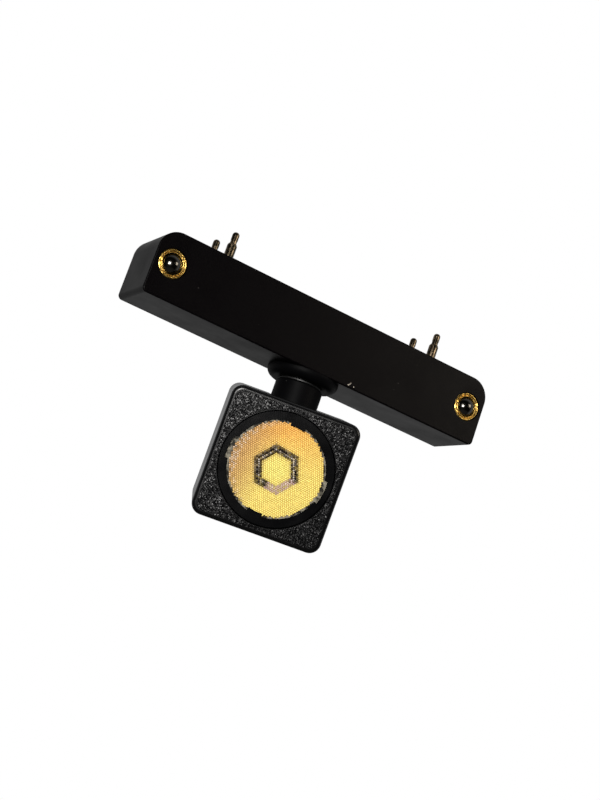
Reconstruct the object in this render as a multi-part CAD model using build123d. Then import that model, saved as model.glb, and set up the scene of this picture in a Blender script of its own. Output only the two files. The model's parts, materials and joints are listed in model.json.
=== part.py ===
from build123d import *
import math
import os

# Low-voltage track spotlight: an adapter bar that clips into a track with sprung balls and
# touches its conductors with sprung pins, a short swivel stem, and a square tilting head with
# one TIR-lens LED. All sizes in millimetres.
#
# Row frame: origin at the centre of the bar's top face, +X along the bar, +Z up into the track,
# -Y the side that the head faces when its swivel is at zero.
# Head frame: origin on the tilt axis, +X along it, -Y the way the light goes, +Z the head's top.

# ---- Driving sizes: adapter bar ----
bar_length = 80.0
bar_depth = 14.0
bar_height = 14.0
bar_top_corner_radius = 4.3
bar_bottom_corner_radius = 1.0
bar_edge_radius = 0.3
bar_wall = 1.0
bar_floor = 2.5
pocket_length = 63.0
pocket_corner_radius = 1.5
plate_thickness = 1.6
plate_ledge = 0.45
plate_end_ledge = 0.5
plate_corner_radius = 1.2
plate_gap = 0.05
plate_boss_radius = 1.9
plate_boss_inset = 2.1

# ---- Driving sizes: contact pins ----
pin_spacing_x = 50.2
pin_spacing_y = 9.6
barrel_radius = 1.0
barrel_wall = 0.17
barrel_height = 3.1
barrel_shoulder = 0.35
barrel_lip = 0.3
barrel_base = 0.8
tail_radius = 0.45
tail_below_board = 0.8
plunger_step = 0.11
plunger_tip_share = 0.92
plunger_waist_depth = 0.06
plunger_waist_rise = 0.15
plunger_waist_length = 0.7
plunger_height = 2.6
plunger_collar_length = 1.4
plunger_collar_overlap = 0.1
pin_running_gap = 0.03
pin_spring_wire_radius = 0.12
pin_spring_coils = 9

# ---- Driving sizes: ball detents ----
detent_inset = 4.0
detent_height = 7.42
sleeve_radius = 3.1
sleeve_length = 6.8
sleeve_lip = 0.4
sleeve_mouth_radius = 2.05
sleeve_base = 0.8
sleeve_groove_radius = 2.62
sleeve_groove_width = 0.3
sleeve_groove_depth = 0.15
sleeve_edge = 0.15
ball_radius = 2.25
ball_gap = 0.05
ball_seat_gap = 0.02
ball_spring_radius = 1.55
ball_spring_wire_radius = 0.2
ball_spring_coils = 3.5
spring_end_gap = 0.03

# ---- Driving sizes: driver board ----
board_thickness = 1.0
board_drop = 4.2
board_end_gap = 0.6
board_side_gap = 0.4
board_hole_gap = 0.05
inductor_x = -13.0
inductor_radius = 2.9
inductor_waist_radius = 2.5
inductor_height = 4.0
inductor_flange = 0.6
capacitor_x = 9.5
capacitor_radius = 2.4
capacitor_length = 8.0
capacitor_edge = 0.35
capacitor_seam_x = 1.1
capacitor_seam_width = 0.5
capacitor_seam_depth = 0.3
chip_bevel = 0.15
driver_chip_x = -8.0
driver_chip_size = (5.0, 4.0, 1.5)
rectifier_x = 8.0
rectifier_size = (4.8, 4.0, 1.5)
component_size = (2.0, 1.25, 0.7)
component_places = [
    (-20.0, -2.0),
    (-20.0, 2.0),
    (-1.0, -2.5),
    (-1.0, 2.5),
    (16.0, -2.0),
    (16.0, 2.0),
    (20.0, 0.0),
]

# ---- Driving sizes: swivel ----
swivel_offset = 0.9
flange_radius = 7.6
flange_thickness = 1.9
flange_edge_radius = 1.7
bush_radius = 3.7
shank_radius = 2.7
swivel_gap = 0.03
wire_bore_radius = 1.6
swivel_washer_thickness = 0.3
stop_washer_thickness = 0.6
stop_tab_reach = 5.0
stop_tab_width = 1.2
stop_pin_radius = 0.5
stop_pin_circle = 4.5
stop_pin_depth = 1.5
stop_pin_rise = 0.3
washer_margin = 0.2
spring_washer_thickness = 0.3
spring_washer_height = 0.5
nut_thickness = 1.8
nut_across_flats = 7.0
thread_above_nut = 0.3
shank_flat = 0.5
stem_radius = 5.0
stem_chamfer = 0.4

# ---- Driving sizes: tilt hinge ----
pivot_drop = 28.0
rest_swivel = -19.8
rest_tilt = 13.2
knuckle_radius = 4.0
knuckle_half_width = 4.0
knuckle_height = 4.6
tilt_washer_thickness = 0.6
tilt_washer_radius = 3.4
ear_thickness = 1.2
ear_radius = 3.5
bracket_margin = 0.3
bracket_hole_gap = 0.55
bracket_screw_spacing = 6.0
pivot_shoulder_radius = 1.5
pivot_thread_radius = 1.25
pivot_thread_length = 2.1
pivot_head_radius = 2.2
pivot_head_thickness = 1.2
pivot_end_play = 0.1
pivot_gap = 0.03

# ---- Driving sizes: head ----
head_size = 26.4
head_length = 26.0
head_corner_radius = 2.3
head_edge_radius = 0.8
pivot_from_top = 8.0
pivot_from_rear = 8.0
head_wall = 1.6
head_room_corner_radius = 1.3
rear_cover_thickness = 2.0
lens_bore_depth = 10.2
partition_thickness = 2.2
slot_gap = 0.3
cover_boss_radius = 2.0
cover_screw_inset = 4.0
wire_hole_radius = 1.75
wire_hole_inset = 2.3

# ---- Driving sizes: optics ----
lens_radius = 9.6
lens_flange_thickness = 1.2
lens_recess = 0.5
holder_recess = 0.2
holder_gap = 0.05
holder_wall = 1.8
holder_edge = 0.2
lens_gap = 0.05
holder_ledge_width = 0.55
holder_ledge_thickness = 0.6
optic_clocking = -7.0
clip_width = 3.0
clip_reach = 0.65
clip_root = 0.3
lens_tab_width = 4.6
lens_tab_reach = 0.6
cone_rim = 0.8
cone_base_share = 0.42
cone_bulge = 0.9
led_board_gap = 0.25
led_board_thickness = 1.2
led_screw_inset = 2.2
led_package_size = 3.5
led_package_height = 0.7
phosphor_radius = 1.4
lens_cavity_radius = 2.0
lens_cavity_depth = 3.0
lens_stand_off = 0.25

# ---- Driving sizes: screws and wires ----
screw_radius = 1.0
screw_head_radius = 1.9
screw_head_height = 1.0
screw_head_edge = 0.25
screw_end_gap = 0.3
cover_screw_length = 6.0
plate_screw_length = 5.0
bracket_screw_length = 3.0
led_screw_length = 2.8
socket_radius = 0.75
socket_depth = 0.6
wire_radius = 0.5
wire_offset = 0.6
wire_bend = 1.25
wire_rise = 1.6
wire_run = 5.0
wire_end_inset = 0.4
head_wire_bend = 0.85
head_wire_start_y = 1.2
head_wire_start_gap = 0.9
head_wire_stand_off = 0.9
head_wire_pad_share = 0.576

# ---- Places worked out from the driving sizes ----
pocket_half_width = bar_depth / 2 - bar_wall
barrel_bore_radius = barrel_radius - barrel_wall
plunger_radius = barrel_bore_radius - plunger_step
plunger_waist_radius = plunger_radius - plunger_waist_depth
floor_z = -bar_height + bar_floor
board_top = -board_drop
board_bottom = board_top - board_thickness
plate_boss_x = pocket_length / 2 - plate_boss_inset
detent_x = bar_length / 2 - detent_inset
detent_z = detent_height - bar_height
ball_y = bar_depth / 2 - sleeve_lip - math.sqrt(ball_radius**2 - sleeve_mouth_radius**2) - ball_seat_gap
flange_bottom = -bar_height - flange_thickness
stem_top = flange_bottom - swivel_washer_thickness
stop_washer_top = floor_z + stop_washer_thickness
spring_washer_top = stop_washer_top + spring_washer_height
nut_top = spring_washer_top + nut_thickness
shank_top = nut_top + thread_above_nut
washer_radius = bush_radius + washer_margin
half_head = head_size / 2
front_y = pivot_from_rear - head_length
rear_y = pivot_from_rear
shell_rear_y = rear_y - rear_cover_thickness
head_top = pivot_from_top
optic_z = pivot_from_top - half_head
partition_front = front_y + lens_bore_depth
partition_rear = partition_front + partition_thickness
cover_screw_spacing = head_size - 2 * cover_screw_inset
lens_front = front_y + lens_recess
lens_back = lens_front + lens_flange_thickness
holder_front = front_y + holder_recess
lens_bore_radius = lens_radius + lens_gap + holder_wall + holder_gap
cone_top_radius = lens_radius - cone_rim
cone_base_radius = cone_base_share * lens_radius
led_board_radius = lens_radius + lens_gap - led_board_gap
led_screw_spacing = 2 * (led_board_radius - led_screw_inset)
led_board_front = partition_front - led_board_thickness
phosphor_tip = led_board_front - led_package_height - phosphor_radius
ear_inner = knuckle_half_width + tilt_washer_thickness
ear_outer = ear_inner + ear_thickness
bracket_rear = partition_rear + ear_thickness
wire_hole_z = optic_z - led_board_radius + wire_hole_inset
bracket_low = wire_hole_z + wire_hole_radius + bracket_hole_gap
bracket_screw_z = bracket_low + screw_head_radius + bracket_margin
cover_screw_places = [
    (sx * cover_screw_spacing / 2, optic_z + sz * cover_screw_spacing / 2)
    for sx in (-1, 1)
    for sz in (-1, 1)
]
bracket_screw_places = [(side * bracket_screw_spacing / 2, bracket_screw_z) for side in (-1, 1)]
pin_places = [(sx * pin_spacing_x / 2, sy * pin_spacing_y / 2) for sx in (-1, 1) for sy in (-1, 1)]
pin_names = ["left_front", "left_rear", "right_front", "right_rear"]

swivel_place = Pos(swivel_offset, 0, 0)
stem_place = swivel_place * Rot(0, 0, rest_swivel)
head_place = stem_place * Pos(0, 0, -pivot_drop) * Rot(rest_tilt, 0, 0)


# ---- Shape helpers ----
def cyl_z(radius, z0, z1, x=0.0, y=0.0):
    """A cylinder along Z between two heights."""
    return Pos(x, y, (z0 + z1) / 2) * Cylinder(radius, abs(z1 - z0))


def cyl_y(radius, y0, y1, x=0.0, z=0.0):
    """A cylinder along Y between two depths."""
    return Pos(x, (y0 + y1) / 2, z) * Rot(90, 0, 0) * Cylinder(radius, abs(y1 - y0))


def cyl_x(radius, x0, x1, y=0.0, z=0.0):
    """A cylinder along X between two places."""
    return Pos((x0 + x1) / 2, y, z) * Rot(0, 90, 0) * Cylinder(radius, abs(x1 - x0))


def block(x0, x1, y0, y1, z0, z1):
    """A box given by its two corners."""
    centre = Pos((x0 + x1) / 2, (y0 + y1) / 2, (z0 + z1) / 2)
    return centre * Box(abs(x1 - x0), abs(y1 - y0), abs(z1 - z0))


def rounded_block_z(length, width, radius, z0, z1):
    """A box about the Z axis whose four upright edges are rounded."""
    return extrude(Pos(0, 0, z0) * RectangleRounded(length, width, radius), z1 - z0)


def rounded_block_y(width, height, radius, y0, y1, z=0.0):
    """A box about a line along Y whose four long edges are rounded."""
    return Pos(0, y1, z) * Rot(90, 0, 0) * extrude(RectangleRounded(width, height, radius), y1 - y0)


def turned_z(points):
    """A solid turned about Z from a closed outline of (radius, height) points."""
    outline = make_face(Polyline(*[(r, 0, z) for r, z in points], close=True))
    return revolve(outline, Axis.Z)


def coil(radius, wire, height, turns):
    """A helical compression spring standing on Z = 0, its wire centres from there to height."""
    path = Helix(pitch=height / turns, height=height, radius=radius)
    section = Plane(origin=path @ 0, z_dir=path % 0) * Circle(wire)
    return sweep(section, path=path, is_frenet=True)


def countersunk_screw(length):
    """An M2 countersunk screw along Z, its flat head at Z = 0 and its point below."""
    head = Pos(0, 0, -screw_head_height / 2) * Cone(screw_radius, screw_head_radius, screw_head_height)
    screw = head + cyl_z(screw_radius, -length, 0)
    recess = extrude(Pos(0, 0, -socket_depth) * RegularPolygon(socket_radius, 6), socket_depth)
    return screw - recess


def pan_screw(length):
    """An M2 cheese-head screw along Z, its seat at Z = 0 and its point below."""
    head = cyl_z(screw_head_radius, 0, screw_head_height)
    head = fillet(head.edges().group_by(Axis.Z)[-1], screw_head_edge)
    recess = extrude(
        Pos(0, 0, screw_head_height - socket_depth) * RegularPolygon(socket_radius, 6), socket_depth
    )
    return head + cyl_z(screw_radius, -length, 0) - recess


def countersink(depth_below):
    """The hole that a countersunk screw fills, its mouth at Z = 0."""
    mouth = Pos(0, 0, -screw_head_height / 2) * Cone(screw_radius, screw_head_radius, screw_head_height)
    return mouth + cyl_z(screw_radius, -depth_below, 0)


def wire_along(points, bend):
    """A round wire along straight runs joined by arcs of one radius."""
    path = FilletPolyline(*points, radius=bend)
    section = Plane(origin=path @ 0, z_dir=path % 0) * Circle(wire_radius)
    return sweep(section, path=path)


def save(name, *solids):
    """Write one node to its own STEP file; identical fasteners are a group of solids."""
    shape = solids[0] if len(solids) == 1 else Compound(children=list(solids))
    export_step(shape, f"parts/{name}.step")


# ---- Adapter bar ----
def adapter_body():
    """The black bar: a pocket for the driver, a seat for the plate, cross bores for the detents."""
    bar = block(-bar_length / 2, bar_length / 2, -bar_depth / 2, bar_depth / 2, -bar_height, 0)
    top_corners = bar.edges().filter_by(Axis.Y).group_by(Axis.Z)[-1]
    bar = fillet(top_corners, bar_top_corner_radius)
    bottom_corners = bar.edges().filter_by(Axis.Y).group_by(Axis.Z)[0]
    bar = fillet(bottom_corners, bar_bottom_corner_radius)
    side_rims = [f.outer_wire().edges() for f in bar.faces().filter_by(Axis.Y)]
    bar = fillet(side_rims[0] + side_rims[1], bar_edge_radius)
    seat_length = pocket_length + 2 * plate_end_ledge
    seat_width = 2 * (pocket_half_width + plate_ledge)
    bar -= rounded_block_z(seat_length, seat_width, plate_corner_radius, -plate_thickness, 1)
    pocket = rounded_block_z(
        pocket_length, 2 * pocket_half_width, pocket_corner_radius, floor_z, -plate_thickness
    )
    for side in (-1, 1):
        x = side * plate_boss_x
        pocket -= cyl_z(plate_boss_radius, floor_z, -plate_thickness, x)
    bar -= pocket
    for side in (-1, 1):
        x = side * plate_boss_x
        bar -= cyl_z(screw_radius, -plate_screw_length - screw_end_gap, -plate_thickness, x)
        bar -= cyl_y(sleeve_radius, -bar_depth / 2, bar_depth / 2, side * detent_x, detent_z)
    bar -= cyl_z(bush_radius, -bar_height, floor_z, swivel_offset)
    bar -= cyl_z(stop_pin_radius, floor_z - stop_pin_depth, floor_z, swivel_offset, stop_pin_circle)
    return bar


def contact_plate():
    """The insulating lid that carries the contact pins, flush with the bar's top."""
    length = pocket_length + 2 * (plate_end_ledge - plate_gap)
    width = 2 * (pocket_half_width + plate_ledge - plate_gap)
    plate = rounded_block_z(length, width, plate_corner_radius - plate_gap, -plate_thickness, 0)
    for x, y in pin_places:
        plate -= cyl_z(barrel_radius, -plate_thickness, 0, x, y)
    for side in (-1, 1):
        plate -= Pos(side * plate_boss_x, 0, 0) * countersink(plate_thickness)
    return plate


def driver_board():
    """The constant-current driver's board, soldered to the four contact tails."""
    half_length = plate_boss_x - plate_boss_radius - board_end_gap
    half_width = pocket_half_width - board_side_gap
    board = block(-half_length, half_length, -half_width, half_width, board_bottom, board_top)
    for x, y in pin_places:
        board -= cyl_z(tail_radius + board_hole_gap, board_bottom, board_top, x, y)
    return board


def inductor():
    """A shielded drum inductor under the board: two flanges and a ferrite sleeve."""
    low = board_bottom - inductor_height
    drum = cyl_z(inductor_radius, low, board_bottom, inductor_x)
    waist_low = low + inductor_flange
    waist_top = board_bottom - inductor_flange
    waist = cyl_z(inductor_radius, waist_low, waist_top, inductor_x)
    core = cyl_z(inductor_waist_radius, waist_low, waist_top, inductor_x)
    return drum - (waist - core)


def smoothing_capacitor():
    """An electrolytic can lying under the board, with its rolled seam and vent groove."""
    z = board_bottom - capacitor_radius
    can = cyl_x(capacitor_radius, capacitor_x, capacitor_x + capacitor_length, 0, z)
    can = fillet(can.edges().filter_by(GeomType.CIRCLE), capacitor_edge)
    start = capacitor_x + capacitor_seam_x
    end = start + capacitor_seam_width
    seam = cyl_x(capacitor_radius, start, end, 0, z)
    seam -= cyl_x(capacitor_radius - capacitor_seam_depth, start, end, 0, z)
    return can - seam


def chip(x, y, size):
    """A moulded chip on the board's top, its upper edges bevelled."""
    length, width, height = size
    body = Pos(x, y, board_top + height / 2) * Box(length, width, height)
    return chamfer(body.edges().group_by(Axis.Z)[-1], chip_bevel)


def chip_components():
    """The small ceramic capacitors and resistors on the board's top."""
    return [chip(x, y, component_size) for x, y in component_places]


# ---- Contact pins ----
def contact_barrel():
    """A pin's fixed barrel: crimped mouth above, solder tail below."""
    bottom = board_top
    outline = [
        (0, bottom),
        (barrel_radius, bottom),
        (barrel_radius, barrel_height - barrel_shoulder),
        (barrel_radius - barrel_shoulder / 2, barrel_height),
        (0, barrel_height),
    ]
    barrel = turned_z(outline)
    barrel -= cyl_z(barrel_bore_radius, bottom + barrel_base, barrel_height - barrel_lip)
    barrel -= cyl_z(plunger_radius + pin_running_gap, barrel_height - barrel_lip, barrel_height)
    return barrel + cyl_z(tail_radius, board_bottom - tail_below_board, bottom)


def contact_plunger():
    """A pin's sliding plunger: rounded tip, slim waist, and a collar under the crimped mouth."""
    tip = barrel_height + plunger_height
    collar_top = barrel_height - barrel_lip - pin_running_gap
    collar_radius = barrel_bore_radius - pin_running_gap
    shaft = cyl_z(plunger_radius, collar_top - plunger_collar_overlap, tip)
    shaft = fillet(shaft.edges().group_by(Axis.Z)[-1], plunger_tip_share * plunger_radius)
    waist_z = barrel_height + plunger_waist_rise
    waist_top = waist_z + plunger_waist_length
    waist = cyl_z(plunger_radius, waist_z, waist_top) - cyl_z(plunger_waist_radius, waist_z, waist_top)
    collar = cyl_z(collar_radius, collar_top - plunger_collar_length, collar_top)
    return shaft - waist + collar


def contact_spring():
    """The compression spring between a barrel's base and its plunger."""
    low = board_top + barrel_base + pin_spring_wire_radius + spring_end_gap
    collar_bottom = barrel_height - barrel_lip - pin_running_gap - plunger_collar_length
    high = collar_bottom - pin_spring_wire_radius - spring_end_gap
    radius = barrel_bore_radius - 2 * pin_running_gap - pin_spring_wire_radius
    return Pos(0, 0, low) * coil(radius, pin_spring_wire_radius, high - low, pin_spring_coils)


# ---- Ball detents, built with the ball towards -Y and the cross bore's middle at Y = 0 ----
def detent_sleeve():
    """A brass sleeve pressed into the bar, its mouth rolled in to keep the ball."""
    outer = -bar_depth / 2
    inner = outer + sleeve_length
    sleeve = cyl_y(sleeve_radius, outer, inner)
    sleeve = chamfer(sleeve.edges().filter_by(GeomType.CIRCLE).group_by(Axis.Y)[0], sleeve_edge)
    sleeve -= cyl_y(ball_radius + ball_gap, outer + sleeve_lip, inner - sleeve_base)
    sleeve -= cyl_y(sleeve_mouth_radius, outer, outer + sleeve_lip)
    groove = cyl_y(sleeve_groove_radius + sleeve_groove_width / 2, outer, outer + sleeve_groove_depth)
    groove -= cyl_y(sleeve_groove_radius - sleeve_groove_width / 2, outer, outer + sleeve_groove_depth)
    return sleeve - groove


def detent_ball():
    """A hardened steel ball held behind the sleeve's lip."""
    return Pos(0, -ball_y, 0) * Sphere(ball_radius)


def detent_spring():
    """The compression spring between the sleeve's base and the ball."""
    base = -bar_depth / 2 + sleeve_length - sleeve_base - ball_spring_wire_radius - spring_end_gap
    reach = math.sqrt((ball_radius + ball_spring_wire_radius) ** 2 - ball_spring_radius**2)
    tip = -ball_y + reach + spring_end_gap
    spring = coil(ball_spring_radius, ball_spring_wire_radius, base - tip, ball_spring_coils)
    return Pos(0, base, 0) * Rot(90, 0, 0) * spring


# ---- Swivel ----
def swivel_bush():
    """The round flange under the bar, with a boss pressed into the bar's floor."""
    flange = cyl_z(flange_radius, flange_bottom, -bar_height)
    flange = fillet(flange.edges().group_by(Axis.Z)[0], flange_edge_radius)
    boss = cyl_z(bush_radius, -bar_height, floor_z)
    return flange + boss - cyl_z(shank_radius + swivel_gap, flange_bottom, floor_z)


def shank_flat_cut(z0, z1):
    """The stretch that the shank's flat takes away, for a keyed washer to leave."""
    edge = -shank_radius + shank_flat
    return block(-2 * shank_radius, 2 * shank_radius, -2 * shank_radius, edge, z0, z1)


def stem():
    """The turned stem: a hollow threaded shank above, a flat-sided knuckle below."""
    shoulder_z = -pivot_drop + knuckle_height
    body = cyl_z(stem_radius, shoulder_z, stem_top)
    body = chamfer(body.edges().filter_by(GeomType.CIRCLE), stem_chamfer)
    shank = cyl_z(shank_radius, stem_top, shank_top) - shank_flat_cut(floor_z, shank_top)
    neck = block(
        -knuckle_half_width, knuckle_half_width, -knuckle_radius, knuckle_radius, -pivot_drop, shoulder_z
    )
    neck &= cyl_z(stem_radius, -pivot_drop, shoulder_z)
    knuckle = cyl_x(knuckle_radius, -knuckle_half_width, knuckle_half_width, 0, -pivot_drop)
    knuckle &= cyl_z(stem_radius, -pivot_drop - knuckle_radius, shoulder_z)
    whole = body + shank + neck + knuckle
    whole -= cyl_z(wire_bore_radius, -pivot_drop - knuckle_radius, shank_top)
    for side in (-1, 1):
        inner = side * (knuckle_half_width - pivot_thread_length)
        whole -= cyl_x(pivot_thread_radius, inner, side * knuckle_half_width, 0, -pivot_drop)
    return whole


def swivel_washer():
    """A nylon ring between the flange and the stem."""
    ring = cyl_z(stem_radius - stem_chamfer, stem_top, flange_bottom)
    return ring - cyl_z(shank_radius + swivel_gap, stem_top, flange_bottom)


def stop_washer():
    """A keyed washer whose tab meets the stop pin at the ends of the swivel."""
    ring = cyl_z(washer_radius, floor_z, stop_washer_top)
    ring += block(-stop_tab_width / 2, stop_tab_width / 2, -stop_tab_reach, 0, floor_z, stop_washer_top)
    hole = cyl_z(shank_radius + swivel_gap, floor_z, stop_washer_top)
    hole -= Pos(0, -swivel_gap, 0) * shank_flat_cut(floor_z, stop_washer_top)
    return ring - hole


def stop_pin():
    """The small pin in the bar's floor that the washer's tab meets."""
    top = stop_washer_top + stop_pin_rise
    return cyl_z(stop_pin_radius, floor_z - stop_pin_depth, top, 0, stop_pin_circle)


def spring_washer():
    """A conical spring washer that gives the swivel its friction."""
    inner = shank_radius + swivel_gap
    rise = spring_washer_height - spring_washer_thickness
    low = stop_washer_top
    outline = [
        (inner, low + rise),
        (washer_radius, low),
        (washer_radius, low + spring_washer_thickness),
        (inner, low + rise + spring_washer_thickness),
    ]
    return turned_z(outline)


def swivel_nut():
    """The thin nut that holds the stem up in the bar."""
    corner_radius = nut_across_flats / math.sqrt(3)
    nut = extrude(Pos(0, 0, spring_washer_top) * RegularPolygon(corner_radius, 6), nut_thickness)
    thread = cyl_z(shank_radius, spring_washer_top, nut_top)
    return nut - thread


def pivot_screw(side):
    """A shoulder screw through one ear into the knuckle."""
    face = knuckle_half_width
    head_seat = ear_outer + pivot_end_play
    head_end = head_seat + pivot_head_thickness
    thread = cyl_x(pivot_thread_radius, side * (face - pivot_thread_length), side * face)
    shoulder = cyl_x(pivot_shoulder_radius, side * face, side * head_seat)
    head = cyl_x(pivot_head_radius, side * head_seat, side * head_end)
    recess = extrude(Plane.YZ * RegularPolygon(socket_radius, 6), side * socket_depth)
    recess = Pos(side * (head_end - socket_depth), 0, 0) * recess
    return thread + shoulder + head - recess


def tilt_washer(side):
    """A fibre washer between the knuckle and one ear."""
    disc = cyl_x(tilt_washer_radius, side * knuckle_half_width, side * ear_inner)
    hole = cyl_x(pivot_shoulder_radius + pivot_gap, side * knuckle_half_width, side * ear_inner)
    return disc - hole


# ---- Head, in the head frame ----
def stem_slot_top():
    """The slot that the stem takes in the head's top, open to the rear."""
    radius = stem_radius + slot_gap
    inner_top = head_top - head_wall
    return cyl_z(radius, inner_top, head_top) + block(-radius, radius, 0, rear_y, inner_top, head_top)


def head_shell():
    """The square cast head: lens bore in front, hinge room behind, a wall between them."""
    shell = rounded_block_y(head_size, head_size, head_corner_radius, front_y, shell_rear_y, optic_z)
    shell = fillet(shell.faces().sort_by(Axis.Y)[0].outer_wire().edges(), head_edge_radius)
    shell -= cyl_y(lens_bore_radius, front_y, partition_front, 0, optic_z)
    inner = head_size - 2 * head_wall
    room = rounded_block_y(
        inner, inner, head_room_corner_radius, partition_rear, shell_rear_y, optic_z
    )
    for x, z in cover_screw_places:
        boss = cyl_y(cover_boss_radius, partition_rear, shell_rear_y, x, z)
        corner_x = math.copysign(inner / 2, x)
        corner_z = optic_z + math.copysign(inner / 2, z - optic_z)
        boss += block(x, corner_x, partition_rear, shell_rear_y, z, corner_z)
        room -= boss
    shell -= room
    for x, z in cover_screw_places:
        end = rear_y - cover_screw_length - screw_end_gap
        shell -= cyl_y(screw_radius, end, shell_rear_y, x, z)
    shell -= stem_slot_top()
    shell -= cyl_y(wire_hole_radius, partition_front, partition_rear, 0, wire_hole_z)
    for x, z in bracket_screw_places:
        shell -= cyl_y(screw_radius, bracket_rear - bracket_screw_length, partition_rear, x, z)
    for side in (-1, 1):
        depth = led_screw_length - led_board_thickness
        x = side * led_screw_spacing / 2
        shell -= cyl_y(screw_radius, partition_front, partition_front + depth, x, optic_z)
    return shell


def rear_cover():
    """The head's back plate, slotted from the top so that the head can look straight down."""
    cover = rounded_block_y(head_size, head_size, head_corner_radius, shell_rear_y, rear_y, optic_z)
    cover = fillet(cover.faces().sort_by(Axis.Y)[-1].outer_wire().edges(), head_edge_radius)
    radius = stem_radius + slot_gap
    slot = cyl_y(radius, shell_rear_y, rear_y) + block(-radius, radius, shell_rear_y, rear_y, 0, head_top)
    cover -= slot
    for x, z in cover_screw_places:
        cover -= Pos(x, rear_y, z) * Rot(-90, 0, 0) * countersink(rear_cover_thickness)
    return cover


def tilt_bracket():
    """A bent steel bracket behind the wall; its two ears carry the tilt screws."""
    base = block(-ear_outer, ear_outer, partition_rear, bracket_rear, bracket_low, ear_radius)
    for side in (-1, 1):
        inner = side * ear_inner
        outer = side * ear_outer
        base += block(inner, outer, partition_rear, 0, -ear_radius, ear_radius)
        base += cyl_x(ear_radius, inner, outer)
        base -= cyl_x(pivot_shoulder_radius + pivot_gap, inner, outer)
    for x, z in bracket_screw_places:
        base -= cyl_y(screw_radius, partition_rear, bracket_rear, x, z)
    return base


def led_board():
    """The aluminium-core disc that carries the light source."""
    board = cyl_y(led_board_radius, led_board_front, partition_front, 0, optic_z)
    board -= cyl_y(wire_hole_radius, led_board_front, partition_front, 0, wire_hole_z)
    for side in (-1, 1):
        x = side * led_screw_spacing / 2
        board -= cyl_y(screw_radius, led_board_front, partition_front, x, optic_z)
    return board


def led_package():
    """The square ceramic base of the light source."""
    half = led_package_size / 2
    front = led_board_front - led_package_height
    return block(-half, half, front, led_board_front, optic_z - half, optic_z + half)


def led_phosphor():
    """The yellow phosphor dome on the ceramic base."""
    base = led_board_front - led_package_height
    dome = Pos(0, base, optic_z) * Sphere(phosphor_radius)
    half = 2 * phosphor_radius
    return dome & block(-half, half, base - half, base, optic_z - half, optic_z + half)


def optic_tabs(width, reach, y0, y1):
    """Two arc-ended tabs on the lens's left and right, clocked with the optics."""
    tip = lens_radius + reach
    bar = block(-tip, tip, y0, y1, -width / 2, width / 2) & cyl_y(tip, y0, y1)
    return Pos(0, 0, optic_z) * Rot(0, -optic_clocking, 0) * bar


def tir_lens():
    """The moulded collimator: a thin front disc with tabs over a cone that narrows to the source."""
    base_y = phosphor_tip + phosphor_radius - lens_stand_off
    mid_radius = (cone_top_radius + cone_base_radius) / 2 + cone_bulge
    mid_y = (lens_back + base_y) / 2
    side = ThreePointArc((cone_top_radius, lens_back), (mid_radius, mid_y), (cone_base_radius, base_y))
    outline = [
        Line((0, lens_front), (lens_radius, lens_front)),
        Line((lens_radius, lens_front), (lens_radius, lens_back)),
        Line((lens_radius, lens_back), (cone_top_radius, lens_back)),
        side,
        Line((cone_base_radius, base_y), (0, base_y)),
        Line((0, base_y), (0, lens_front)),
    ]
    lens = revolve(make_face(outline), Axis.Y)
    lens -= cyl_y(lens_cavity_radius, base_y - lens_cavity_depth, base_y)
    lens = Pos(0, 0, optic_z) * lens
    return lens + optic_tabs(lens_tab_width, lens_tab_reach, lens_front, lens_back)


def lens_holder():
    """The black tube that carries the lens on a ledge, with two clips over its face."""
    outer = lens_bore_radius - holder_gap
    inner = lens_radius + lens_gap
    holder = cyl_y(outer, holder_front, partition_front, 0, optic_z)
    holder = chamfer(holder.edges().filter_by(GeomType.CIRCLE).group_by(Axis.Y)[0], holder_edge)
    holder -= cyl_y(inner, holder_front, partition_front, 0, optic_z)
    ledge = cyl_y(inner, lens_back, lens_back + holder_ledge_thickness, 0, optic_z)
    ledge -= cyl_y(inner - holder_ledge_width, lens_back, lens_back + holder_ledge_thickness, 0, optic_z)
    reach = inner + clip_root
    clip_bar = block(-clip_width / 2, clip_width / 2, holder_front, lens_front, -reach, reach)
    clip_bar -= cyl_y(lens_radius - clip_reach, holder_front, lens_front)
    clips = Pos(0, 0, optic_z) * Rot(0, -optic_clocking, 0) * clip_bar
    gap = lens_gap
    notch = optic_tabs(lens_tab_width + 2 * gap, lens_tab_reach + gap, holder_front, lens_back)
    return (holder - notch) + ledge + clips


# ---- Lead wires ----
def adapter_wire(side):
    """A lead from the board's underside to the top of the hollow shank."""
    start = side * (wire_offset + wire_run)
    run_z = board_bottom - wire_rise
    points = [
        (start, 0, board_bottom),
        (start, 0, run_z),
        (side * wire_offset, 0, run_z),
        (side * wire_offset, 0, shank_top),
    ]
    return wire_along(points, wire_bend)


def stem_wire(side):
    """The stretch of a lead that the hollow stem holds."""
    low = -pivot_drop - knuckle_radius + wire_end_inset
    return cyl_z(wire_radius, low, shank_top, side * wire_offset)


def head_wire(side):
    """A lead from below the knuckle, forward through the wall to its pad between hole and cone."""
    x = side * wire_offset
    front = led_board_front - head_wire_stand_off
    cone_low = optic_z - cone_base_radius
    pad_z = wire_hole_z + head_wire_pad_share * (cone_low - wire_hole_z)
    points = [
        (x, head_wire_start_y, -knuckle_radius - head_wire_start_gap),
        (x, head_wire_start_y, wire_hole_z),
        (x, front, wire_hole_z),
        (x, front, pad_z),
    ]
    return wire_along(points, head_wire_bend)


# ---- Writing the nodes ----


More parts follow.
